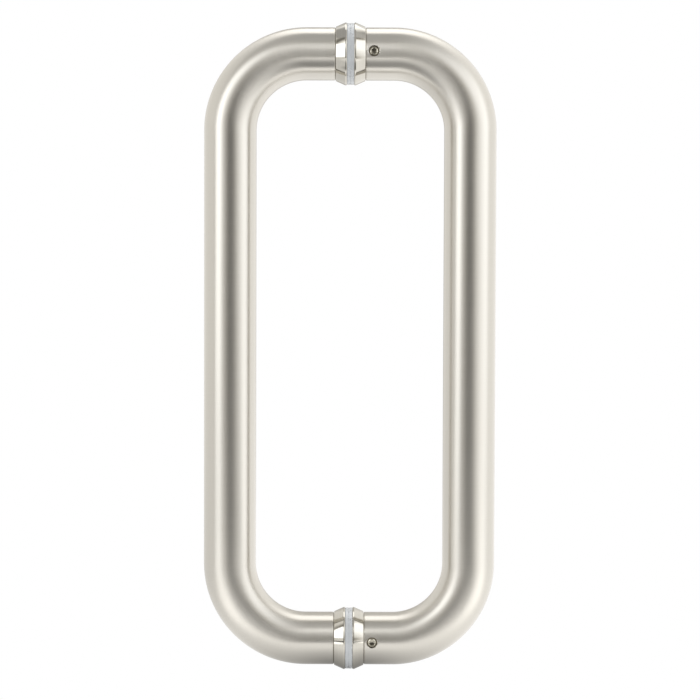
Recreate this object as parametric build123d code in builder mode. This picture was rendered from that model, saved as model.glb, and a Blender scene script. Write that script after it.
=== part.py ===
"""Back-to-back door pulls: bent satin tubes clamped through a door by hidden bolts.

The clamp plane is X = 0, the grips stand along Z, and the screws that lock the right pull face -Y.
"""

import os

from build123d import *

# Bent tubes, in millimetres
tube_diameter = 25.0
tube_wall = 1.5
tube_end_rounding = 0.4
hole_centres = 280.0
grip_offset = 57.3
bend_radius = 36.5

# Bevelled rings and clear washers between the tubes and the door
ring_length = 5.4
ring_rim = 0.8
ring_nose_step = 0.3
ring_flare = 2.0
ring_edge = 0.25
washer_thickness = 1.7
washer_inset = 0.3
washer_edge = 0.2

# Bolts through the door, with a sleeve round each one in its hole
bolt_diameter = 8.0
bolt_length = 35.0
bolt_tip_chamfer = 0.8
bolt_head_diameter = 13.0
bolt_head_height = 8.0
bolt_head_edge = 0.5
bolt_socket_width = 6.0
bolt_socket_depth = 4.0
sleeve_wall = 1.8

# Plugs fixed in the left tube and posts that the right tube slips over
insert_setback = 0.9
insert_chamfer = 0.6
post_floor = 4.5
post_groove_wall = 1.15

# Set screws that lock the right tube on its posts
screw_diameter = 5.0
screw_from_end = 3.9
screw_sink = 0.3
screw_edge = 0.4
screw_cup_diameter = 2.4
screw_cup_depth = 0.6
screw_point_taper = 0.6
screw_socket_width = 2.5
screw_socket_depth = 1.8
screw_hole_countersink = 0.25

# Clearances, each on the radius or on one side
thread_clearance = 0.05
bolt_clearance = 0.2
sleeve_clearance = 0.25
sleeve_end_gap = 0.6
head_clearance = 0.5
plug_clearance = 0.02
post_clearance = 0.05
groove_clearance = 0.3
screw_seat_clearance = 0.05

# Places worked out from the sizes above
half_centres = hole_centres / 2
tube_radius = tube_diameter / 2
tube_bore_radius = tube_radius - tube_wall
tube_end = washer_thickness + ring_length
insert_end = grip_offset - bend_radius - insert_setback
nose_radius = tube_radius + ring_nose_step
ring_radius = nose_radius + ring_flare
washer_radius = ring_radius - washer_inset
bolt_radius = bolt_diameter / 2
sleeve_bore_radius = bolt_radius + bolt_clearance
sleeve_radius = sleeve_bore_radius + sleeve_wall
stack_bore_radius = sleeve_radius + sleeve_clearance
bolt_head_seat = tube_end + post_floor
bolt_head_top = bolt_head_seat + bolt_head_height
bolt_tip = bolt_head_seat - bolt_length
screw_x = tube_end + screw_from_end
screw_radius = screw_diameter / 2
screw_hole_radius = screw_radius + thread_clearance
head_pocket_radius = bolt_head_diameter / 2 + head_clearance
groove_radius = head_pocket_radius + post_groove_wall
screw_tip = groove_radius + screw_seat_clearance
screw_top = tube_radius - screw_sink
groove_half_width = screw_radius + groove_clearance

levels = (("upper", half_centres), ("lower", -half_centres))
sides = (("left", -1), ("right", 1))


def section_plane(level):
    """Plane through a bolt's axis: its x runs along the bolt and its y is the radius."""
    return Plane(origin=(0, 0, level), x_dir=(1, 0, 0), z_dir=(0, -1, 0))


def bolt_axis(level):
    """Axis of the bolt, ring, washers and tube ends at one height."""
    return Axis((0, 0, level), (1, 0, 0))


def screw_plane(level):
    """Plane through a set screw's axis: its x runs out of the tube and its y is the radius."""
    return Plane(origin=(screw_x, 0, level), x_dir=(0, -1, 0), z_dir=(0, 0, 1))


def write(builder, name):
    """Label the finished piece and write it as one STEP file."""
    builder.part.label = name
    export_step(builder.part, f"parts/{name}.step")


os.makedirs("parts", exist_ok=True)

# Bent tubes: one ring-shaped section carried along leg, bend, grip, bend and leg
for side_name, side in sides:
    with BuildPart() as pull:
        with BuildLine() as centreline:
            FilletPolyline(
                (side * tube_end, 0, half_centres),
                (side * grip_offset, 0, half_centres),
                (side * grip_offset, 0, -half_centres),
                (side * tube_end, 0, -half_centres),
                radius=bend_radius,
            )
        with BuildSketch(Plane(origin=(side * tube_end, 0, half_centres), z_dir=(side, 0, 0))):
            Circle(tube_radius)
            Circle(tube_bore_radius, mode=Mode.SUBTRACT)
        sweep(path=centreline.wires()[0])
        end_edges = pull.edges().group_by(Axis.X)[0 if side > 0 else -1]
        fillet(end_edges.sort_by(SortBy.RADIUS)[-len(levels):], tube_end_rounding)
        if side_name == "right":
            for _, level in levels:
                with Locations(Plane(origin=(screw_x, -tube_radius, level), z_dir=(0, -1, 0))):
                    CounterSinkHole(
                        radius=screw_hole_radius,
                        counter_sink_radius=screw_hole_radius + screw_hole_countersink,
                        depth=tube_radius,
                        counter_sink_angle=90,
                    )
    write(pull, f"{side_name}_pull")

# Bevelled rings: a rim against the washer and a cone down to the tube
for level_name, level in levels:
    for side_name, side in sides:
        with BuildPart() as ring:
            with BuildSketch(section_plane(level)):
                with BuildLine():
                    Polyline(
                        (side * washer_thickness, stack_bore_radius),
                        (side * washer_thickness, ring_radius),
                        (side * (washer_thickness + ring_rim), ring_radius),
                        (side * tube_end, nose_radius),
                        (side * tube_end, stack_bore_radius),
                        close=True,
                    )
                corner_rows = make_face().vertices().group_by(Axis.Y)
                fillet(corner_rows[-1] + corner_rows[1], ring_edge)
            revolve(axis=bolt_axis(level))
        write(ring, f"{level_name}_{side_name}_ring")

# Clear washers: flat discs that touch the door, or each other when no door is between them
for level_name, level in levels:
    for side_name, side in sides:
        with BuildPart() as washer:
            with BuildSketch(section_plane(level)):
                with BuildLine():
                    Polyline(
                        (0, stack_bore_radius),
                        (0, washer_radius),
                        (side * washer_thickness, washer_radius),
                        (side * washer_thickness, stack_bore_radius),
                        close=True,
                    )
                fillet(make_face().vertices().group_by(Axis.Y)[-1], washer_edge)
            revolve(axis=bolt_axis(level))
        write(washer, f"{level_name}_{side_name}_washer")

# Sleeves: clear tubes that keep each bolt off the edge of the door's hole
for level_name, level in levels:
    with BuildPart() as sleeve:
        with BuildSketch(section_plane(level)):
            with Locations((0, (sleeve_bore_radius + sleeve_radius) / 2)):
                Rectangle(2 * (tube_end - sleeve_end_gap), sleeve_wall)
        revolve(axis=bolt_axis(level))
    write(sleeve, f"{level_name}_sleeve")

# Threaded plugs: fixed inside the left tube's ends, with the bolt's thread through them
for level_name, level in levels:
    with BuildPart() as plug:
        with BuildSketch(section_plane(level)):
            with BuildLine():
                Polyline(
                    (-tube_end, bolt_radius + thread_clearance),
                    (-tube_end, tube_bore_radius - plug_clearance),
                    (-insert_end, tube_bore_radius - plug_clearance),
                    (-insert_end, bolt_radius + thread_clearance),
                    close=True,
                )
            chamfer(make_face().vertices().group_by(Axis.Y)[-1], insert_chamfer)
        revolve(axis=bolt_axis(level))
    write(plug, f"{level_name}_threaded_plug")

# Mounting posts: cups for the bolt heads, grooved where the set screws bite
for level_name, level in levels:
    with BuildPart() as post:
        with BuildSketch(section_plane(level)):
            with BuildLine():
                Polyline(
                    (tube_end, sleeve_bore_radius),
                    (tube_end, tube_bore_radius - post_clearance),
                    (insert_end, tube_bore_radius - post_clearance),
                    (insert_end, head_pocket_radius),
                    (bolt_head_seat, head_pocket_radius),
                    (bolt_head_seat, sleeve_bore_radius),
                    close=True,
                )
            chamfer(make_face().vertices().group_by(Axis.Y)[-1], insert_chamfer)
            with Locations((screw_x, (groove_radius + tube_radius) / 2)):
                Rectangle(2 * groove_half_width, tube_radius - groove_radius, mode=Mode.SUBTRACT)
        revolve(axis=bolt_axis(level))
    write(post, f"{level_name}_mounting_post")

# Through bolts: socket heads in the posts, tips screwed through the plugs
for level_name, level in levels:
    with BuildPart() as bolt:
        with BuildSketch(section_plane(level)):
            with BuildLine():
                Polyline(
                    (bolt_tip, 0),
                    (bolt_tip, bolt_radius - bolt_tip_chamfer),
                    (bolt_tip + bolt_tip_chamfer, bolt_radius),
                    (bolt_head_seat, bolt_radius),
                    (bolt_head_seat, bolt_head_diameter / 2),
                    (bolt_head_top - bolt_head_edge, bolt_head_diameter / 2),
                    (bolt_head_top, bolt_head_diameter / 2 - bolt_head_edge),
                    (bolt_head_top, 0),
                    close=True,
                )
            make_face()
        revolve(axis=bolt_axis(level))
        with BuildSketch(Plane(origin=(bolt_head_top, 0, level), z_dir=(-1, 0, 0))):
            RegularPolygon(bolt_socket_width / 2, 6, major_radius=False)
        extrude(amount=bolt_socket_depth, mode=Mode.SUBTRACT)
    write(bolt, f"{level_name}_through_bolt")

# Set screws: cup points in the posts' grooves, hexagon sockets just below the tube's surface
for level_name, level in levels:
    with BuildPart() as screw:
        with BuildSketch(screw_plane(level)):
            with BuildLine():
                Polyline(
                    (screw_tip + screw_cup_depth, 0),
                    (screw_tip, screw_cup_diameter / 2),
                    (screw_tip + screw_point_taper, screw_radius),
                    (screw_top - screw_edge, screw_radius),
                    (screw_top, screw_radius - screw_edge),
                    (screw_top, 0),
                    close=True,
                )
            make_face()
        revolve(axis=Axis((screw_x, 0, level), (0, -1, 0)))
        with BuildSketch(Plane(origin=(screw_x, -screw_top, level), z_dir=(0, 1, 0))):
            RegularPolygon(screw_socket_width / 2, 6, major_radius=False)
        extrude(amount=screw_socket_depth, mode=Mode.SUBTRACT)
    write(screw, f"{level_name}_set_screw")
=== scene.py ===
# %% [markdown]
# A pair of door pulls, clamped back to back through a door, seen with no door between them.
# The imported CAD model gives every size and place. This lesson builds the visible skins again as
# fine numpy surfaces, gives each piece its own finish, and lights them inside a white cloth tent.

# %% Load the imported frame
import math

import bpy
import numpy as np
from mathutils import Matrix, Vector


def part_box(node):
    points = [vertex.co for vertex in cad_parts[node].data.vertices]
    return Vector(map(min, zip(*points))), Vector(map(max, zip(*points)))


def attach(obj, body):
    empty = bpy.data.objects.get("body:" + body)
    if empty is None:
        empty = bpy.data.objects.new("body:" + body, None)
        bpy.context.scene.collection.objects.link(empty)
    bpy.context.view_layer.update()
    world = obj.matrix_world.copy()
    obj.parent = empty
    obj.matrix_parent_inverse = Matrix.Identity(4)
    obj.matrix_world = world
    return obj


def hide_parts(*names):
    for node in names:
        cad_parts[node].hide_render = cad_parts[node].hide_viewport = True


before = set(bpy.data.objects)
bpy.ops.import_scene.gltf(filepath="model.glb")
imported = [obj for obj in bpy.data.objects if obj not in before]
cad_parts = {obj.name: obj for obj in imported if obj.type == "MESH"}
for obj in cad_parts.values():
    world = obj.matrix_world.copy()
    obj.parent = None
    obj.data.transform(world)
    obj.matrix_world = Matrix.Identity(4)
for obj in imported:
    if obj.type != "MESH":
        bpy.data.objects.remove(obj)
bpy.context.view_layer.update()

# %% [markdown]
# The tubes, rings and washers are all round, so a box says most of what there is to know about
# them. Half of a ring's depth is its radius, and the end of a tube is the side of its box.
# Sizes that no box shows, such as the bend or an edge rounding, are named beside their piece.

# %% Sizes read from the boxes
MM = 1000.0


def box_mm(node):
    """The lowest and highest corner of a CAD node, in millimetres."""
    low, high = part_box(node)
    return np.array(low) * MM, np.array(high) * MM


pull_low, pull_high = box_mm("right_pull")
tube_radius = (pull_high[1] - pull_low[1]) / 2
tube_end = pull_low[0]
leg_height = pull_high[2] - tube_radius
grip_reach = pull_high[0] - tube_radius
ring_low, ring_high = box_mm("upper_right_ring")
ring_radius = (ring_high[1] - ring_low[1]) / 2
washer_low, washer_high = box_mm("upper_right_washer")
washer_radius = (washer_high[1] - washer_low[1]) / 2
screw_low, screw_high = box_mm("upper_set_screw")
screw_radius = (screw_high[0] - screw_low[0]) / 2
screw_x = (screw_high[0] + screw_low[0]) / 2
print("tube radius", round(tube_radius, 3), "legs at", round(leg_height, 2), "grips at", round(grip_reach, 2))
print("ring", round(ring_radius, 3), "washer", round(washer_radius, 3), "screw", round(screw_radius, 3))

# %% [markdown]
# A mesh is a list of points and a list of faces that name them. Blender takes both as flat arrays,
# so a whole surface goes in with a few calls. A closed surface that faces outwards has a positive
# volume, which is worth printing: a minus sign would mean that it is inside out.

# %% Arrays into a mesh


def enclosed_volume(points, faces):
    """Six times a volume is the sum of a . (b x c) over its triangles; a face is cut as a fan."""
    total = 0.0
    for corner in range(1, faces.shape[1] - 1):
        a, b, c = points[faces[:, 0]], points[faces[:, corner]], points[faces[:, corner + 1]]
        total += np.einsum("ij,ij->", a, np.cross(b, c)) / 6
    return total


def make_piece(name, points, *face_lists, corner_uv=None, crease=35, closed=True):
    """Points in millimetres and arrays of faces become an object with its place in its mesh. Edges
    sharper than crease, in degrees, stay sharp, and only a closed skin has a volume to print."""
    mesh = bpy.data.meshes.new(name)
    sizes = np.concatenate([np.full(len(faces), faces.shape[1]) for faces in face_lists])
    corners = np.concatenate([faces.ravel() for faces in face_lists])
    mesh.vertices.add(len(points))
    mesh.vertices.foreach_set("co", (points / MM).astype(np.float32).ravel())
    mesh.loops.add(len(corners))
    mesh.loops.foreach_set("vertex_index", corners.astype(np.int32))
    mesh.polygons.add(len(sizes))
    mesh.polygons.foreach_set("loop_start", (np.cumsum(sizes) - sizes).astype(np.int32))
    mesh.polygons.foreach_set("use_smooth", np.ones(len(sizes), bool))
    mesh.update(calc_edges=True)
    if corner_uv is not None:
        layer = mesh.uv_layers.new(name="along_tube")
        layer.data.foreach_set("uv", corner_uv.astype(np.float32).ravel())
    mesh.set_sharp_from_angle(angle=math.radians(crease))
    piece = bpy.data.objects.new(name, mesh)
    bpy.context.scene.collection.objects.link(piece)
    triangles = int((sizes - 2).sum())
    mended = mesh.validate()
    if closed:
        volume = sum(enclosed_volume(points, faces) for faces in face_lists)
        print(f"{name}: {triangles} triangles, {volume / 1000:.3f} cm3, mended {mended}")
    else:
        print(f"{name}: {triangles} triangles of open sheet, mended {mended}")
    return piece


# %% [markdown]
# Each pull is one length of tube with two bends. The real one is cut, bent round a former and
# brushed on a belt. A curve object with a round bevel would do, but its ends stay thin sheets.
# Here the wall is real: the grid runs down the outer skin, over the rounded lip, back along the
# bore and over the other lip, so both directions close on themselves and there is no seam.

# %% The line that a tube follows
tube_wall = 1.5
bend_radius = 36.5
lip_rounding = 0.7
QUARTER = math.pi / 2
leg_length = grip_reach - bend_radius - tube_end
bend_length = QUARTER * bend_radius
grip_length = 2 * (leg_height - bend_radius)
tube_length = 2 * leg_length + 2 * bend_length + grip_length
bore_radius = tube_radius - tube_wall
print("tube cut to", round(tube_length, 1), "mm, with straight legs of", round(leg_length, 2))


def tube_point(s, out, front, side):
    """A point of a tube, s mm along its axis from the upper end. The axis goes along the leg, turns
    a quarter circle, goes down the grip, turns again and comes back. Then it is moved by out, away
    from the middle of the loop, and by front, towards the viewer."""
    first = np.clip((s - leg_length) / bend_radius, 0, QUARTER)
    second = np.clip((s - leg_length - bend_length - grip_length) / bend_radius, 0, QUARTER)
    down = np.clip(s - leg_length - bend_length, 0, grip_length)
    back = np.maximum(s - leg_length - 2 * bend_length - grip_length, 0)
    turn = first + second
    x = tube_end + np.minimum(s, leg_length) - back
    x = x + bend_radius * (np.sin(first) - 1 + np.cos(second)) + out * np.sin(turn)
    z = leg_height - down - bend_radius * (1 - np.cos(first) + np.sin(second)) + out * np.cos(turn)
    return np.stack([side * x, -front, z], axis=-1)


# %% Stations along the tube
around = 160
hole_rows = 16
hole_columns = 12
leg_rows = 5
bend_rows = 56
half_grip_rows = 15
hole_station = screw_x - tube_end
hole_half_length = hole_station - lip_rounding
leg_stations = np.concatenate([
    np.linspace(lip_rounding, hole_station + hole_half_length, hole_rows + 1),
    np.linspace(hole_station + hole_half_length, leg_length, leg_rows + 1)[1:],
])
bend_stations = leg_length + np.linspace(0, bend_length, bend_rows + 1)[1:]
half_grip = np.linspace(leg_length + bend_length, tube_length / 2, half_grip_rows + 1)[1:]
half_tube = np.concatenate([leg_stations, bend_stations, half_grip])
skin_stations = np.concatenate([half_tube, (tube_length - half_tube)[-2::-1]])
print("stations along a skin:", len(skin_stations))

# %% [markdown]
# The right pull has a tapped hole near each end for its set screw. A boolean cut would leave long
# thin faces, so the hole is woven in: a patch of the grid is left out of both skins, and rings of
# points lead from the square edge of the patch to the round hole and through the wall.

# %% A tube with a real wall and, where asked, screw holes
thread_clearance = 0.05
hole_radius = screw_radius + thread_clearance
hole_countersink = 0.4
least_mouth_step = 0.02
least_cone_depth = 0.03
lip_steps = 6


def hole_rings(s_middle, angles):
    """The rings of one screw hole as (s, out, front): the edge of the countersink, which is where a
    cone meets the tube's skin, the foot of that cone, and the hole's edge in the bore. The hole's
    axis points to the viewer, so a ring point keeps its s and out through the wall."""
    tangent_edge = hole_radius + hole_countersink
    sink = tube_radius - np.sqrt(tube_radius**2 - (hole_radius * np.sin(angles))**2)
    mouth = np.maximum(hole_radius + least_mouth_step, tangent_edge - sink)
    mouth_out = mouth * np.sin(angles)
    throat_out = hole_radius * np.sin(angles)
    mouth_front = np.sqrt(tube_radius**2 - mouth_out**2)
    throat_front = np.minimum(tube_radius - hole_countersink, mouth_front - least_cone_depth)
    bore_front = np.sqrt(bore_radius**2 - throat_out**2)
    throat_s = s_middle + hole_radius * np.cos(angles)
    return [
        (s_middle + mouth * np.cos(angles), mouth_out, mouth_front),
        (throat_s, throat_out, throat_front),
        (throat_s, throat_out, bore_front),
    ]


def patch_border(first_row, step):
    """Row and column numbers round a patch of the grid, starting at the corner of its first row, so
    that s rises along the first run. step is -1 on the bore, where the rows run backwards."""
    rows = first_row + step * np.arange(hole_rows + 1)
    columns = around // 4 - hole_columns // 2 + np.arange(hole_columns + 1)
    row_run = np.concatenate([
        rows[:-1], np.full(hole_columns, rows[-1]), rows[:0:-1], np.full(hole_columns, rows[0])
    ])
    column_run = np.concatenate([
        np.full(hole_rows, columns[0]), columns[:-1], np.full(hole_rows, columns[-1]), columns[:0:-1]
    ])
    return row_run, column_run, rows, columns


def build_tube(name, side, with_holes):
    """Rows are (s, radius) pairs of the wall's closed outline, columns are angles round the axis:
    out = radius cos(angle), front = radius sin(angle)."""
    arc = np.linspace(0, QUARTER, lip_steps)[1:]
    count = len(skin_stations)
    lip_s = tube_length - lip_rounding + lip_rounding * np.sin(arc)
    lip_r = tube_radius - lip_rounding + lip_rounding * np.cos(arc)
    inner = skin_stations[::-1]
    first_lip_s = (tube_length - lip_s)[::-1]
    outer_r = np.full(count, tube_radius)
    inner_r = np.full(count + 2, bore_radius)
    row_s = np.concatenate([skin_stations, lip_s, [tube_length], inner, [0.0], first_lip_s])
    row_r = np.concatenate([outer_r, lip_r, inner_r, lip_r[::-1]])
    travel = np.concatenate([[0], np.cumsum(np.hypot(np.diff(row_s), np.diff(row_r)))])
    angle = np.arange(around) * 2 * math.pi / around
    rows = len(row_s)
    s = np.repeat(row_s, around)
    out = np.outer(row_r, np.cos(angle)).ravel()
    front = np.outer(row_r, np.sin(angle)).ravel()

    number = np.arange(rows * around).reshape(rows, around)
    right = np.roll(number, -1, axis=1)
    quads = np.stack([number, right, np.roll(right, -1, axis=0), np.roll(number, -1, axis=0)], axis=-1)
    next_travel = np.append(travel[1:], travel[-1] + lip_rounding)
    u = np.stack([travel, travel, next_travel, next_travel], axis=-1)[:, None, :]
    v = np.stack([angle, angle + angle[1], angle + angle[1], angle], axis=-1)[None, :, :] * tube_radius
    uv = np.stack(np.broadcast_arrays(u, v), axis=-1)
    keep = np.ones((rows, around), bool)
    woven = []

    ends = [0, 1] if with_holes else []
    for end in ends:
        middle = tube_length - hole_station if end else hole_station
        outer_first = int(np.argmin(np.abs(skin_stations - (middle - hole_half_length))))
        inner_first = count + lip_steps + (count - 1 - outer_first)
        outer_row, outer_column, outer_rows, columns = patch_border(outer_first, 1)
        inner_row, inner_column, inner_rows, columns = patch_border(inner_first, -1)
        keep[np.ix_(outer_rows[:-1], columns[:-1])] = False
        keep[np.ix_(inner_rows[1:], columns[:-1])] = False
        outer_border = number[outer_row, outer_column]
        inner_border = number[inner_row, inner_column]
        spin = np.arctan2(out[outer_border], s[outer_border] - middle)
        ring_numbers = [outer_border]
        for ring_s, ring_out, ring_front in hole_rings(middle, spin):
            ring_numbers.append(len(s) + np.arange(len(spin)))
            s = np.concatenate([s, ring_s])
            out = np.concatenate([out, ring_out])
            front = np.concatenate([front, ring_front])
        ring_numbers.append(inner_border)
        strip = np.array(ring_numbers)
        ahead = np.roll(strip, -1, axis=1)
        woven.append(np.stack([strip[:-1], strip[1:], ahead[1:], ahead[:-1]], axis=-1).reshape(-1, 4))

    points = tube_point(s, out, front, side)
    faces = quads[keep]
    corner_uv = uv[keep]
    if woven:
        extra = np.concatenate(woven)
        faces = np.concatenate([faces, extra])
        extra_uv = np.stack([s[extra], np.arctan2(front[extra], out[extra]) * tube_radius], axis=-1)
        corner_uv = np.concatenate([corner_uv, extra_uv])
    if side < 0:
        faces = faces[:, ::-1]
        corner_uv = corner_uv[:, ::-1]
    return make_piece(name, points, faces, corner_uv=corner_uv.reshape(-1, 2))


left_tube = build_tube("left_pull_tube", -1, False)
right_tube = build_tube("right_pull_tube", 1, True)

# %% [markdown]
# Where each leg meets the door it carries a turned ring with a sloping face, and a clear washer
# that keeps the ring off the door. Both were turned or moulded round one axis, so both are a small
# outline spun round the bolt. Every corner gets a little arc, because a real edge always catches
# a line of light and a perfectly sharp one never does.

# %% An outline with rounded corners, spun round the bolt
spin_count = 192
corner_steps = 6


def rounded_outline(corners, roundings):
    """Replaces each corner of a closed outline by an arc that touches both of its sides. The arc's
    centre lies on the bisector, rounding / sin(half the corner's angle) from the corner."""
    corners = np.array(corners, float)
    roundings = np.array(roundings, float)[:, None]
    to_last = np.roll(corners, 1, axis=0) - corners
    to_next = np.roll(corners, -1, axis=0) - corners
    to_last /= np.linalg.norm(to_last, axis=1, keepdims=True)
    to_next /= np.linalg.norm(to_next, axis=1, keepdims=True)
    angle = np.arccos(np.sum(to_last * to_next, axis=1, keepdims=True))
    bisector = to_last + to_next
    bisector /= np.linalg.norm(bisector, axis=1, keepdims=True)
    centre = corners + bisector * roundings / np.sin(angle / 2)
    start = corners + to_last * roundings / np.tan(angle / 2) - centre
    finish = corners + to_next * roundings / np.tan(angle / 2) - centre
    sweep = math.pi - angle
    share = np.linspace(0, 1, corner_steps)[None, :, None]
    turn = sweep[:, None, :]
    blend = np.sin((1 - share) * turn) * start[:, None, :] + np.sin(share * turn) * finish[:, None, :]
    return (centre[:, None, :] + blend / np.sin(turn)).reshape(-1, 2)


def spin_piece(name, outline, height, side, crease=40):
    """Each outline point (x, r) becomes a circle of radius r at x along the bolt, and circles and
    outline both close, so the skin is a ring with no seam or pole."""
    angle = np.arange(spin_count) * 2 * math.pi / spin_count
    x = np.repeat(outline[:, 0], spin_count)
    y = np.outer(outline[:, 1], np.sin(angle)).ravel()
    z = np.outer(outline[:, 1], np.cos(angle)).ravel()
    points = np.stack([side * x, -y, height + z], axis=-1)
    number = np.arange(len(points)).reshape(len(outline), spin_count)
    ahead = np.roll(number, -1, axis=1)
    quads = np.stack([number, ahead, np.roll(ahead, -1, axis=0), np.roll(number, -1, axis=0)], axis=-1)
    quads = quads.reshape(-1, 4)
    return make_piece(name, points, quads if side > 0 else quads[:, ::-1], crease=crease)


# %% Rings and washers
ring_rim = 0.8
ring_nose_step = 0.3
stack_bore_radius = 6.25
ring_edge = 0.25
ring_back_edge = 0.5
ring_nose_edge = 0.4
washer_edge = 0.2
bore_edge = 0.1
nose_radius = tube_radius + ring_nose_step
ring_outline = rounded_outline(
    [
        (ring_low[0], stack_bore_radius),
        (ring_low[0], ring_radius),
        (ring_low[0] + ring_rim, ring_radius),
        (ring_high[0], nose_radius),
        (ring_high[0], stack_bore_radius),
    ],
    [bore_edge, ring_back_edge, ring_edge, ring_nose_edge, bore_edge],
)
washer_outline = rounded_outline(
    [
        (washer_low[0], stack_bore_radius),
        (washer_low[0], washer_radius),
        (washer_high[0], washer_radius),
        (washer_high[0], stack_bore_radius),
    ],
    [bore_edge, washer_edge, washer_edge, bore_edge],
)
rings, washers = {}, {}
for level, up in (("upper", 1), ("lower", -1)):
    for hand, side in (("left", -1), ("right", 1)):
        place = f"{level}_{hand}"
        rings[place] = spin_piece(f"{place}_bevel_ring", ring_outline, up * leg_height, side)
        washers[place] = spin_piece(f"{place}_clear_washer", washer_outline, up * leg_height, side)

# %% [markdown]
# A set screw is a headless threaded pin with a hexagon socket at one end and a hollow cup at the
# other. Its face slopes away to the rim in two bevels, so that rim and face catch different light.
# Its rows start at the middle of the cup, go round the outside and end at the middle of the
# socket's floor. A row is a circle or a hexagon, and the hexagon is only a radius that changes
# with the angle, so one grid makes both.

# %% The set screws
screw_edge_drop = 0.85
screw_face_drop = 0.3
screw_face_radius = 2.05
screw_point_taper = 0.6
screw_cup_radius = 1.2
screw_cup_depth = 0.6
socket_width = 2.5
socket_depth = 2.2
socket_rim = 0.12
socket_floor_drop = 0.2
pole_circle_radius = 0.05
screw_count = 96


def build_set_screw(name, node):
    """Rows of (distance along the screw, circle radius, share of hexagon). The hexagon's radius at
    an angle is half its width over the cosine of the angle from the nearest flat's middle."""
    low, high = box_mm(node)
    middle = (low + high) / 2
    length = high[1] - low[1]
    hex_half = socket_width / 2
    rows = np.array([
        (length - screw_cup_depth, pole_circle_radius, 0),
        (length, screw_cup_radius, 0),
        (length, screw_radius - screw_point_taper, 0),
        (length - screw_point_taper, screw_radius, 0),
        (screw_edge_drop, screw_radius, 0),
        (screw_face_drop, screw_face_radius, 0),
        (0, hex_half / math.cos(math.pi / 6) + socket_rim, 0),
        (socket_rim, 0, 1),
        (socket_depth, 0, 1),
        (socket_depth + socket_floor_drop, pole_circle_radius, 0),
    ])
    angle = np.arange(screw_count) * 2 * math.pi / screw_count
    flat_angle = np.mod(angle + math.pi / 6, math.pi / 3) - math.pi / 6
    hexagon = hex_half / np.cos(flat_angle)
    radius = rows[:, 1:2] * (1 - rows[:, 2:3]) + hexagon[None, :] * rows[:, 2:3]
    x = middle[0] + radius * np.cos(angle)
    z = middle[2] + radius * np.sin(angle)
    y = np.broadcast_to(low[1] + rows[:, :1], radius.shape)
    points = np.stack([x, y, z], axis=-1).reshape(-1, 3)
    poles = np.array([
        (middle[0], low[1] + length - screw_cup_depth, middle[2]),
        (middle[0], low[1] + socket_depth + socket_floor_drop, middle[2]),
    ])
    number = np.arange(len(points)).reshape(radius.shape)
    ahead = np.roll(number, -1, axis=1)
    quads = np.stack([number[:-1], ahead[:-1], ahead[1:], number[1:]], axis=-1).reshape(-1, 4)
    cup = np.stack([np.full(screw_count, len(points)), ahead[0], number[0]], axis=-1)
    floor = np.stack([np.full(screw_count, len(points) + 1), number[-1], ahead[-1]], axis=-1)
    fans = np.concatenate([cup, floor])
    return make_piece(name, np.concatenate([points, poles]), quads, fans, crease=25)


screws = {}
for level in ("upper", "lower"):
    screws[level] = build_set_screw(f"{level}_socket_screw", f"{level}_set_screw")

# %% [markdown]
# Blender mixes light in linear values, while colours are written as they look on a screen. One
# function turns a hex colour to linear, and one adds a node, sets it and wires it.

# %% Colours and nodes


def linear(hex_colour):
    """sRGB to linear: c / 12.92 when small, and ((c + 0.055) / 1.055) ** 2.4 above that."""
    values = [int(hex_colour[i:i + 2], 16) / 255 for i in (1, 3, 5)]
    return [c / 12.92 if c <= 0.04045 else ((c + 0.055) / 1.055) ** 2.4 for c in values] + [1.0]


def add(tree, kind, values=None, links=None, **settings):
    """Adds one node: settings are its options, values its fixed sockets, links its wired sockets."""
    node = tree.nodes.new(kind)
    for key, value in settings.items():
        setattr(node, key, value)
    for key, value in (values or {}).items():
        node.inputs[key].default_value = value
    for key, socket in (links or {}).items():
        tree.links.new(socket, node.inputs[key])
    return node


def new_material(name):
    """An empty node material, ready for its shader."""
    material = bpy.data.materials.new(name)
    material.use_nodes = True
    material.node_tree.nodes.clear()
    return material, material.node_tree


# %% [markdown]
# Satin stainless steel is brushed round the tube on a fine belt. Each scratch is a tiny groove
# across the length, so light spreads far along the tube and little round it, and lamps turn into
# long bands. That is what the anisotropic setting is for, with the tangent taken from the map that
# runs along the tube. Real scratches are about 0.1 mm wide, too fine to show, so they are drawn at
# 0.5 mm and kept faint. A belt runs less evenly over a bend, so the finish there is a little
# rougher and less directed, which also keeps the bands on the bends soft.

# %% Satin stainless steel, for the tubes
satin, tree = new_material("satin_stainless_brushed")
scratch_mm = 0.5
scratch_length_mm = 14.0
cloud_mm = 35.0
scratch_depth_mm = 0.02
straight_grain = 0.94
bend_grain = 0.78
bend_softening = 0.06
fade_outside_bend = 6
fade_inside_bend = 14
where = add(tree, "ShaderNodeUVMap", uv_map="along_tube")
stretch = add(
    tree, "ShaderNodeMapping", links={"Vector": where.outputs["UV"]},
    values={"Scale": (1 / scratch_mm, 1 / scratch_length_mm, 1)},
)
scratches = add(
    tree, "ShaderNodeTexNoise", links={"Vector": stretch.outputs["Vector"]},
    values={"Scale": 1.0, "Detail": 2.0, "Roughness": 0.55},
)
place = add(tree, "ShaderNodeTexCoord")
clouds = add(
    tree, "ShaderNodeTexNoise", links={"Vector": place.outputs["Object"]},
    values={"Scale": MM / cloud_mm, "Detail": 2.0},
)
mottle = add(
    tree, "ShaderNodeMix", data_type="FLOAT", values={"Factor": 0.4},
    links={"A": scratches.outputs["Fac"], "B": clouds.outputs["Fac"]},
)
tint = add(
    tree, "ShaderNodeMix", data_type="RGBA", links={"Factor": mottle.outputs["Result"]},
    values={"A": linear("#C5C1B8"), "B": linear("#D0CCC4")},
)
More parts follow.
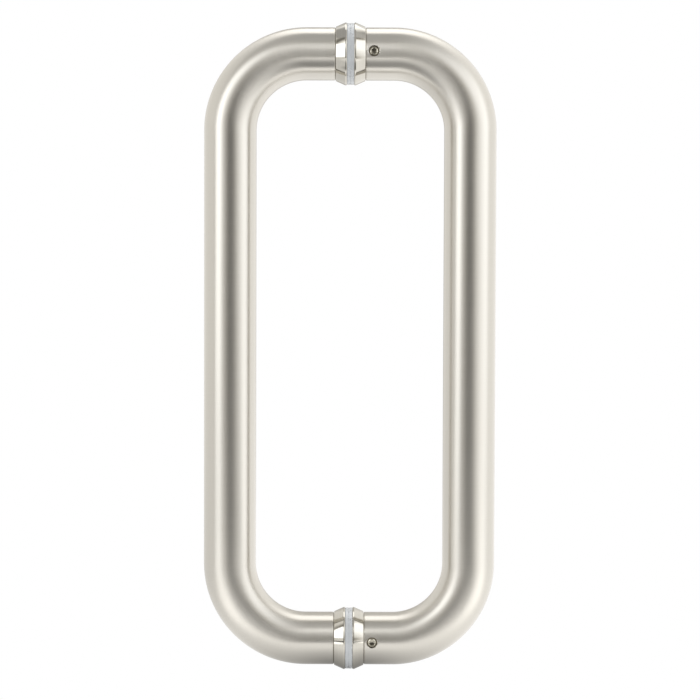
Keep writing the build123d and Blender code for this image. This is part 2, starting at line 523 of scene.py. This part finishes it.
gloss = add(
    tree, "ShaderNodeMapRange", links={"Value": mottle.outputs["Result"]},
    values={"From Min": 0.3, "From Max": 0.7, "To Min": 0.33, "To Max": 0.38},
)
relief = add(
    tree, "ShaderNodeBump", links={"Height": scratches.outputs["Fac"]},
    values={"Strength": 0.05, "Distance": scratch_depth_mm / MM},
)
station = add(tree, "ShaderNodeSeparateXYZ", links={"Vector": where.outputs["UV"]})
from_middle = add(
    tree, "ShaderNodeMath", operation="SUBTRACT",
    links={0: station.outputs["X"]}, values={1: tube_length / 2},
)
off_middle = add(tree, "ShaderNodeMath", operation="ABSOLUTE", links={0: from_middle.outputs["Value"]})
bend_middle = (grip_length + bend_length) / 2
from_bend = add(
    tree, "ShaderNodeMath", operation="SUBTRACT",
    links={0: off_middle.outputs["Value"]}, values={1: bend_middle},
)
off_bend = add(tree, "ShaderNodeMath", operation="ABSOLUTE", links={0: from_bend.outputs["Value"]})
in_bend = add(
    tree, "ShaderNodeMapRange", interpolation_type="SMOOTHSTEP", links={"Value": off_bend.outputs["Value"]},
    values={
        "From Min": bend_length / 2 + fade_outside_bend, "From Max": bend_length / 2 - fade_inside_bend,
    },
)
grain = add(
    tree, "ShaderNodeMix", data_type="FLOAT", values={"A": straight_grain, "B": bend_grain},
    links={"Factor": in_bend.outputs["Result"]},
)
softened = add(
    tree, "ShaderNodeMath", operation="MULTIPLY_ADD", values={1: bend_softening},
    links={0: in_bend.outputs["Result"], 2: gloss.outputs["Result"]},
)
along = add(tree, "ShaderNodeTangent", direction_type="UV_MAP", uv_map="along_tube")
steel = add(
    tree, "ShaderNodeBsdfPrincipled", values={"Metallic": 1.0},
    links={
        "Base Color": tint.outputs["Result"], "Roughness": softened.outputs["Value"],
        "Anisotropic": grain.outputs["Result"],
        "Normal": relief.outputs["Normal"], "Tangent": along.outputs["Tangent"],
    },
)
add(tree, "ShaderNodeOutputMaterial", links={"Surface": steel.outputs["BSDF"]})
print("satin scratches drawn", scratch_mm, "mm wide")

# %% [markdown]
# The rings are the same steel, but polished after turning, so they mirror the tent. What is left
# of the tool is a set of very faint circles round the bolt, here bands 0.6 mm wide.

# %% Polished stainless steel, for the rings
polished, tree = new_material("polished_stainless_turned")
turning_mm = 0.6
turning_reach_mm = 40.0
turning_depth_mm = 0.02
place = add(tree, "ShaderNodeTexCoord")
squeeze = add(
    tree, "ShaderNodeMapping", links={"Vector": place.outputs["Object"]},
    values={"Scale": (MM / turning_mm, MM / turning_reach_mm, MM / turning_reach_mm)},
)
turning = add(
    tree, "ShaderNodeTexNoise", links={"Vector": squeeze.outputs["Vector"]},
    values={"Scale": 1.0, "Detail": 1.0},
)
tint = add(
    tree, "ShaderNodeMix", data_type="RGBA", links={"Factor": turning.outputs["Fac"]},
    values={"A": linear("#BEBAB0"), "B": linear("#C7C3BA")},
)
gloss = add(
    tree, "ShaderNodeMapRange", links={"Value": turning.outputs["Fac"]},
    values={"From Min": 0.3, "From Max": 0.7, "To Min": 0.05, "To Max": 0.11},
)
relief = add(
    tree, "ShaderNodeBump", links={"Height": turning.outputs["Fac"]},
    values={"Strength": 0.04, "Distance": turning_depth_mm / MM},
)
steel = add(
    tree, "ShaderNodeBsdfPrincipled", values={"Metallic": 1.0},
    links={
        "Base Color": tint.outputs["Result"], "Roughness": gloss.outputs["Result"],
        "Normal": relief.outputs["Normal"],
    },
)
add(tree, "ShaderNodeOutputMaterial", links={"Surface": steel.outputs["BSDF"]})
print("turning marks", turning_mm, "mm apart")

# %% [markdown]
# The washers and the sleeves inside them are moulded clear plastic, a little milky in the mass.
# Light comes through, a little blue, and the moulded skin is not quite smooth.

# %% Clear moulded plastic, for washers and sleeves
clear, tree = new_material("clear_plastic_moulded")
haze_mm = 12.0
place = add(tree, "ShaderNodeTexCoord")
haze = add(
    tree, "ShaderNodeTexNoise", links={"Vector": place.outputs["Object"]},
    values={"Scale": MM / haze_mm, "Detail": 3.0},
)
tint = add(
    tree, "ShaderNodeMix", data_type="RGBA", links={"Factor": haze.outputs["Fac"]},
    values={"A": linear("#DBDFE2"), "B": linear("#E5E7E9")},
)
gloss = add(
    tree, "ShaderNodeMapRange", links={"Value": haze.outputs["Fac"]},
    values={"From Min": 0.3, "From Max": 0.7, "To Min": 0.18, "To Max": 0.32},
)
plastic = add(
    tree, "ShaderNodeBsdfPrincipled", values={"IOR": 1.49, "Transmission Weight": 0.3},
    links={"Base Color": tint.outputs["Result"], "Roughness": gloss.outputs["Result"]},
)
add(tree, "ShaderNodeOutputMaterial", links={"Surface": plastic.outputs["BSDF"]})
print("plastic haze in patches of", haze_mm, "mm")

# %% [markdown]
# The plugs and posts inside the tubes are plain turned steel, and the bolts and set screws are
# cold-formed stainless, a shade darker, with the bright gloss that tumbling leaves.

# %% Turned steel and screw steel, for the hidden fittings
turned, tree = new_material("turned_steel_plain")
feed_mm = 0.4
feed_reach_mm = 30.0
place = add(tree, "ShaderNodeTexCoord")
squeeze = add(
    tree, "ShaderNodeMapping", links={"Vector": place.outputs["Object"]},
    values={"Scale": (MM / feed_mm, MM / feed_reach_mm, MM / feed_reach_mm)},
)
feed = add(
    tree, "ShaderNodeTexNoise", links={"Vector": squeeze.outputs["Vector"]},
    values={"Scale": 1.0, "Detail": 1.0},
)
tint = add(
    tree, "ShaderNodeMix", data_type="RGBA", links={"Factor": feed.outputs["Fac"]},
    values={"A": linear("#A9A59B"), "B": linear("#C0BCB1")},
)
gloss = add(
    tree, "ShaderNodeMapRange", links={"Value": feed.outputs["Fac"]},
    values={"From Min": 0.3, "From Max": 0.7, "To Min": 0.28, "To Max": 0.42},
)
steel = add(
    tree, "ShaderNodeBsdfPrincipled", values={"Metallic": 1.0},
    links={"Base Color": tint.outputs["Result"], "Roughness": gloss.outputs["Result"]},
)
add(tree, "ShaderNodeOutputMaterial", links={"Surface": steel.outputs["BSDF"]})

screw_steel, tree = new_material("stainless_cold_formed")
tumble_mm = 0.8
place = add(tree, "ShaderNodeTexCoord")
tumble = add(
    tree, "ShaderNodeTexNoise", links={"Vector": place.outputs["Object"]},
    values={"Scale": MM / tumble_mm, "Detail": 3.0},
)
tint = add(
    tree, "ShaderNodeMix", data_type="RGBA", links={"Factor": tumble.outputs["Fac"]},
    values={"A": linear("#9A9588"), "B": linear("#B8B3A5")},
)
gloss = add(
    tree, "ShaderNodeMapRange", links={"Value": tumble.outputs["Fac"]},
    values={"From Min": 0.3, "From Max": 0.7, "To Min": 0.07, "To Max": 0.13},
)
steel = add(
    tree, "ShaderNodeBsdfPrincipled", values={"Metallic": 1.0},
    links={"Base Color": tint.outputs["Result"], "Roughness": gloss.outputs["Result"]},
)
add(tree, "ShaderNodeOutputMaterial", links={"Surface": steel.outputs["BSDF"]})
print("fittings: feed marks", feed_mm, "mm, tumbling", tumble_mm, "mm")

# %% [markdown]
# Each new skin stands for one CAD node, which is hidden. The fittings inside keep their CAD shape
# and only take a finish.

# %% Finishes and places
made = []
for hand, tube in (("left", left_tube), ("right", right_tube)):
    made.append((tube, f"{hand}_pull", satin, "satin_steel"))
for place, ring in rings.items():
    made.append((ring, f"{place}_ring", polished, "polished_steel"))
for place, washer in washers.items():
    made.append((washer, f"{place}_washer", clear, "clear_plastic"))
for level, screw in screws.items():
    made.append((screw, f"{level}_set_screw", screw_steel, "screw_steel"))
for piece, node, material, slot in made:
    piece.data.materials.append(material)
    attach(piece, "root")
    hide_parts(node)

kept_finish = {"sleeve": clear, "threaded_plug": turned, "mounting_post": turned, "through_bolt": screw_steel}
for level in ("upper", "lower"):
    for kind, material in kept_finish.items():
        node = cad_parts[f"{level}_{kind}"]
        node.data.materials.clear()
        node.data.materials.append(material)
print(len(made), "pieces replace CAD nodes,", 2 * len(kept_finish), "CAD nodes keep their shape")

# %% [markdown]
# The floor is a plain pale round board well under the pull, as it would be under a fitted handle.
# It glows a little for the camera, in reflections and through clear plastic, so that it joins the
# white background, and the rest of its white is lit, so that it keeps the shadow.

# %% The floor
floor_drop = 450.0
floor_radius = 550.0
floor_count = 96
floor_glow = 0.62
angle = np.arange(floor_count) * 2 * math.pi / floor_count
rim = np.stack([
    floor_radius * np.cos(angle), floor_radius * np.sin(angle), np.full(floor_count, -floor_drop)
], axis=-1)
floor_points = np.concatenate([[(0, 0, -floor_drop)], rim])
rim_number = 1 + np.arange(floor_count)
floor_fan = np.stack([np.zeros(floor_count, int), rim_number, np.roll(rim_number, -1)], axis=-1)
floor = make_piece("floor", floor_points, floor_fan, closed=False)
pale, tree = new_material("pale_floor_board")
rays = add(tree, "ShaderNodeLightPath")
direct = add(
    tree, "ShaderNodeMath", operation="MAXIMUM",
    links={0: rays.outputs["Is Camera Ray"], 1: rays.outputs["Is Glossy Ray"]},
)
shown = add(
    tree, "ShaderNodeMath", operation="MAXIMUM",
    links={0: direct.outputs["Value"], 1: rays.outputs["Is Transmission Ray"]},
)
glow_level = add(
    tree, "ShaderNodeMath", operation="MULTIPLY", links={0: shown.outputs["Value"]}, values={1: floor_glow}
)
glow = add(tree, "ShaderNodeEmission", links={"Strength": glow_level.outputs["Value"]})
board = add(tree, "ShaderNodeBsdfDiffuse", values={"Color": linear("#B4B4B4")})
both = add(tree, "ShaderNodeAddShader", links={0: glow.outputs["Emission"], 1: board.outputs["BSDF"]})
add(tree, "ShaderNodeOutputMaterial", links={"Surface": both.outputs["Shader"]})
floor.data.materials.append(pale)

# %% [markdown]
# The pull stands in a tent of white cloth about 1.5 m across, with a dim opening where the camera
# looks in, a lamp behind the cloth on each side and shade at the back. The wall is a real cylinder
# and not part of the world, because each tube then sees it from its own place, as in a studio. It
# hides from the camera and casts no shadow, and so does the table under the pull.

# %% The wall and the table of the tent
tent_radius = 765.0
tent_top = 952.0
table_level = -158.0
tent_count = 96
angle = np.arange(tent_count) * 2 * math.pi / tent_count
circle = np.stack([tent_radius * np.cos(angle), tent_radius * np.sin(angle)], axis=-1)
wall_points = np.concatenate([
    np.column_stack([circle, np.full(tent_count, table_level)]),
    np.column_stack([circle, np.full(tent_count, tent_top)]),
])
number = np.arange(tent_count)
ahead = np.roll(number, -1)
wall_quads = np.stack([ahead, number, number + tent_count, ahead + tent_count], axis=-1)
tent_wall = make_piece("tent_wall", wall_points, wall_quads, closed=False)
table_points = np.concatenate([[(0, 0, table_level)], wall_points[:tent_count]])
table_fan = np.stack([np.zeros(tent_count, int), number + 1, ahead + 1], axis=-1)
tent_table = make_piece("tent_table", table_points, table_fan, closed=False)
for cloth in (tent_wall, tent_table):
    cloth.visible_camera = False
    cloth.visible_shadow = False


def sum_of_parts(tree, ground, parts, measures):
    """ground plus every part: a level times smooth steps of the named measures, from 0 at the first
    number to 1 at the second."""
    total = None
    for level, edges in parts.values():
        share = None
        for measure, start, end in edges:
            ramp = add(
                tree, "ShaderNodeMapRange", interpolation_type="SMOOTHSTEP",
                values={"From Min": start, "From Max": end}, links={"Value": measures[measure]},
            )
            both = add(
                tree, "ShaderNodeMath", operation="MULTIPLY",
                values={1: 1.0}, links={0: ramp.outputs["Result"]},
            )
            if share is not None:
                tree.links.new(share, both.inputs[1])
            share = both.outputs["Value"]
        scaled = add(
            tree, "ShaderNodeMath", operation="MULTIPLY_ADD",
            values={1: level, 2: ground}, links={0: share},
        )
        if total is not None:
            tree.links.new(total, scaled.inputs[2])
        total = scaled.outputs["Value"]
    return total


# %% [markdown]
# A lamp behind cloth has no sharp edge, so each part of the light is a level times smooth steps,
# and the parts add up. The steps follow measures of the wall's own surface: the bearing from the
# camera's side, in degrees, and the rise, in millimetres. The left lamp and the inner edge of the
# right one lean towards the opening as they rise, by degrees of bearing for each metre, and the
# right one stops leaning at 0.42 m. Places and levels were fitted and then tried, until the bands
# on the tubes lay near those in the photograph. Brighter cloth is a cooler white.

# %% The light on the wall
lean_left = -14.7
lean_right = 55.0
lean_right_top = 0.42
cloth_light, tree = new_material("white_tent_cloth_lit")
place = add(tree, "ShaderNodeTexCoord")
split = add(tree, "ShaderNodeSeparateXYZ", links={"Vector": place.outputs["Object"]})
front = add(tree, "ShaderNodeMath", operation="MULTIPLY", links={0: split.outputs["Y"]}, values={1: -1.0})
radians = add(
    tree, "ShaderNodeMath", operation="ARCTAN2",
    links={0: split.outputs["X"], 1: front.outputs["Value"]},
)
bearing = add(tree, "ShaderNodeMath", operation="DEGREES", links={0: radians.outputs["Value"]})
rise = add(tree, "ShaderNodeMath", operation="MULTIPLY", links={0: split.outputs["Z"]}, values={1: MM})
left_lean = add(
    tree, "ShaderNodeMath", operation="MULTIPLY_ADD", values={1: lean_left},
    links={0: split.outputs["Z"], 2: bearing.outputs["Value"]},
)
off_bearing = add(tree, "ShaderNodeMath", operation="ABSOLUTE", links={0: bearing.outputs["Value"]})
low_rise = add(
    tree, "ShaderNodeMath", operation="MINIMUM",
    links={0: split.outputs["Z"]}, values={1: lean_right_top},
)
right_lean = add(
    tree, "ShaderNodeMath", operation="MULTIPLY_ADD", values={1: lean_right},
    links={0: low_rise.outputs["Value"], 2: bearing.outputs["Value"]},
)
wall_measures = {
    "bearing": bearing.outputs["Value"], "rise": rise.outputs["Value"],
    "left lean": left_lean.outputs["Value"], "right lean": right_lean.outputs["Value"],
    "off bearing": off_bearing.outputs["Value"],
}
opening_level = 0.25
warm_level = 0.3
cool_level = 1.9
left_side = ("left lean", -72, -65)
right_side = ("bearing", 93, 63)
wall_parts = {
    "dark middle of the opening": (-0.16, [("off bearing", 28, 8)]),
    "top of the opening": (0.05, [("off bearing", 45, 20), ("rise", 340, 850)]),
    "low front": (0.15, [("off bearing", 8, 24), ("off bearing", 60, 44), ("rise", 60, -80)]),
    "back in shade": (-0.55, [("off bearing", 152, 176)]),
    "left cloth": (0.86, [("bearing", -62, -78)]),
    "left lamp": (2.3, [left_side, ("left lean", -31, -54), ("rise", -90, -10), ("rise", 600, 470)]),
    "left lamp top": (
        1.2, [("bearing", -60, -48), ("bearing", -8, -34), ("rise", 230, 400), ("rise", 780, 640)],
    ),
    "left glow": (0.49, [left_side, ("left lean", 1.5, -45)]),
    "left lamp foot": (0.25, [("bearing", -74, -64), ("bearing", -34, -48), ("rise", -65, -107)]),
    "right cloth": (1.06, [("bearing", 60, 84)]),
    "right lamp": (1.75, [("right lean", 21, 70), right_side, ("rise", -51, -10), ("rise", 880, 700)]),
    "right lamp top": (0.1, [("right lean", 14, 63), right_side, ("rise", 207, 250)]),
    "right lamp foot": (1.2, [("bearing", 40, 58), right_side, ("rise", -10, -51)]),
}
wall_light = sum_of_parts(tree, opening_level, wall_parts, wall_measures)
heat = add(
    tree, "ShaderNodeMapRange", links={"Value": wall_light},
    values={"From Min": warm_level, "From Max": cool_level},
)
lamp_colour = add(
    tree, "ShaderNodeMix", data_type="RGBA", links={"Factor": heat.outputs["Result"]},
    values={"A": linear("#FFFBF3"), "B": linear("#FAFCFF")},
)
glow = add(
    tree, "ShaderNodeEmission", links={"Strength": wall_light, "Color": lamp_colour.outputs["Result"]}
)
add(tree, "ShaderNodeOutputMaterial", links={"Surface": glow.outputs["Emission"]})
tent_wall.data.materials.append(cloth_light)
print("tent wall", 2 * tent_radius, "mm across, with", len(wall_parts), "lit parts")

# %% [markdown]
# The table is white cloth as well, and its glow lights the undersides. That glow is painted light:
# a painted pool of light on each side in front of the pull, a painted strip of shade before the
# opening, and less light painted to the left. Under the pull a painted shadow makes it dim. The
# distance for that is squeezed from side to side, so the dim spot is a wide oval.

# %% The painted light on the table
table_ground = 0.21
dim_oval = 0.53
painted_pool_places = {"left": (-110.0, -76.0, 0.0), "right": (145.0, -73.0, 0.0)}
table_painted_light, tree = new_material("white_table_cloth_painted_light")
place = add(tree, "ShaderNodeTexCoord")
split = add(tree, "ShaderNodeSeparateXYZ", links={"Vector": place.outputs["Object"]})
depth = add(tree, "ShaderNodeMath", operation="MULTIPLY", links={0: split.outputs["Y"]}, values={1: MM})
across = add(tree, "ShaderNodeMath", operation="MULTIPLY", links={0: split.outputs["X"]}, values={1: MM})
squeeze = add(
    tree, "ShaderNodeMapping", links={"Vector": place.outputs["Object"]},
    values={"Scale": (dim_oval * MM, MM, 0)},
)
away = add(tree, "ShaderNodeVectorMath", operation="LENGTH", links={0: squeeze.outputs["Vector"]})
front = add(tree, "ShaderNodeMath", operation="MULTIPLY", links={0: split.outputs["Y"]}, values={1: -1.0})
radians = add(
    tree, "ShaderNodeMath", operation="ARCTAN2",
    links={0: split.outputs["X"], 1: front.outputs["Value"]},
)
bearing = add(tree, "ShaderNodeMath", operation="DEGREES", links={0: radians.outputs["Value"]})
off_bearing = add(tree, "ShaderNodeMath", operation="ABSOLUTE", links={0: bearing.outputs["Value"]})
flat = add(
    tree, "ShaderNodeVectorMath", operation="MULTIPLY",
    values={1: (MM, MM, 0)}, links={0: place.outputs["Object"]},
)
pools = {}
for hand, pool in painted_pool_places.items():
    pools[hand] = add(
        tree, "ShaderNodeVectorMath", operation="DISTANCE",
        values={1: pool}, links={0: flat.outputs["Vector"]},
    )
# Every part here is painted light. The white cloth part is also a painted shadow under the pull, the pools
# are painted pools of light, and the shade parts are painted shade.
table_parts = {
    "white cloth": (1.12, [("away", -11, 44)]),
    "front in shade": (
        -1.0, [("across", -320, -180), ("across", 260, 150), ("depth", -60, -150), ("depth", -700, -300)],
    ),
    "far front": (0.45, [("off bearing", 12, 32), ("off bearing", 60, 45), ("depth", -300, -480)]),
    "left pool": (1.6, [("from left pool", 70, 20)]),
    "right pool": (1.5, [("from right pool", 75, 25)]),
    "left in shade": (-0.4, [("across", 50, -200)]),
}
table_measures = {
    "depth": depth.outputs["Value"], "across": across.outputs["Value"], "away": away.outputs["Value"],
    "off bearing": off_bearing.outputs["Value"],
    "from left pool": pools["left"].outputs["Value"], "from right pool": pools["right"].outputs["Value"],
}
table_sum = sum_of_parts(tree, table_ground, table_parts, table_measures)
glow = add(tree, "ShaderNodeEmission", links={"Strength": table_sum})
add(tree, "ShaderNodeOutputMaterial", links={"Surface": glow.outputs["Emission"]})
tent_table.data.materials.append(table_painted_light)
print(len(table_parts), "lit parts of the table")

# %% [markdown]
# The roof of the tent is far enough to be the world: dim over the opening, bright over the back,
# where a third lamp hangs. The camera and rays through clear plastic see plain white instead.

# %% The roof
roof_ground = 0.54
world = bpy.data.worlds.new("white_tent_roof")
bpy.context.scene.world = world
world.use_nodes = True
tree = world.node_tree
tree.nodes.clear()
ray = add(tree, "ShaderNodeTexCoord")
split = add(tree, "ShaderNodeSeparateXYZ", links={"Vector": ray.outputs["Generated"]})
front = add(tree, "ShaderNodeMath", operation="MULTIPLY", links={0: split.outputs["Y"]}, values={1: -1.0})
radians = add(
    tree, "ShaderNodeMath", operation="ARCTAN2",
    links={0: split.outputs["Z"], 1: front.outputs["Value"]},
)
over = add(tree, "ShaderNodeMath", operation="DEGREES", links={0: radians.outputs["Value"]})
roof_parts = {
    "back lamp": (1.63, [("over", 93, 97), ("across", -0.43, -0.23), ("across", 0.55, 0.35)]),
    "right front": (0.2, [("across", 0.05, 0.41), ("over", 110, 84)]),
}
roof_measures = {"over": over.outputs["Value"], "across": split.outputs["X"]}
roof_light = sum_of_parts(tree, roof_ground, roof_parts, roof_measures)
rays = add(tree, "ShaderNodeLightPath")
seen = add(
    tree, "ShaderNodeMath", operation="MAXIMUM",
    links={0: rays.outputs["Is Camera Ray"], 1: rays.outputs["Is Transmission Ray"]},
)
strength = add(
    tree, "ShaderNodeMix", data_type="FLOAT", values={"B": 1.0},
    links={"Factor": seen.outputs["Value"], "A": roof_light},
)
roof = add(
    tree, "ShaderNodeBackground",
    links={"Strength": strength.outputs["Result"]}, values={"Color": (1, 1, 1, 1)},
)
add(tree, "ShaderNodeOutputWorld", links={"Surface": roof.outputs["Background"]})
bpy.context.scene.view_settings.view_transform = "Standard"
print(len(roof_parts), "lit parts of the roof")

# %% [markdown]
# The camera stands a little above the middle, square to the pair, with a long lens. Its distance,
# height and tiny roll were solved from the edges of the tubes and the places of the screws and the
# joint in the photograph.

# %% The camera
camera_distance = 866.9
camera_rise = math.radians(1.92)
camera_roll = math.radians(0.188)
lens_mm = 93.0
sensor_mm = 36.0
aim = np.array([0.14, 0.0, -1.19])
ahead = np.array([0.0, math.cos(camera_rise), -math.sin(camera_rise)])
level_right = np.array([1.0, 0.0, 0.0])
level_up = np.cross(level_right, ahead)
right_hand = math.cos(camera_roll) * level_right + math.sin(camera_roll) * level_up
top_side = math.cos(camera_roll) * level_up - math.sin(camera_roll) * level_right
stand = (aim - camera_distance * ahead) / MM
lens = bpy.data.cameras.new("product_camera")
lens.lens = lens_mm
lens.sensor_width = sensor_mm
camera = bpy.data.objects.new("product_camera", lens)
turned_axes = np.stack([right_hand, top_side, -ahead], axis=-1)
camera.matrix_world = Matrix.Translation(stand) @ Matrix(turned_axes.tolist()).to_4x4()
bpy.context.scene.collection.objects.link(camera)
bpy.context.scene.camera = camera
print("camera at", [round(v, 4) for v in stand])
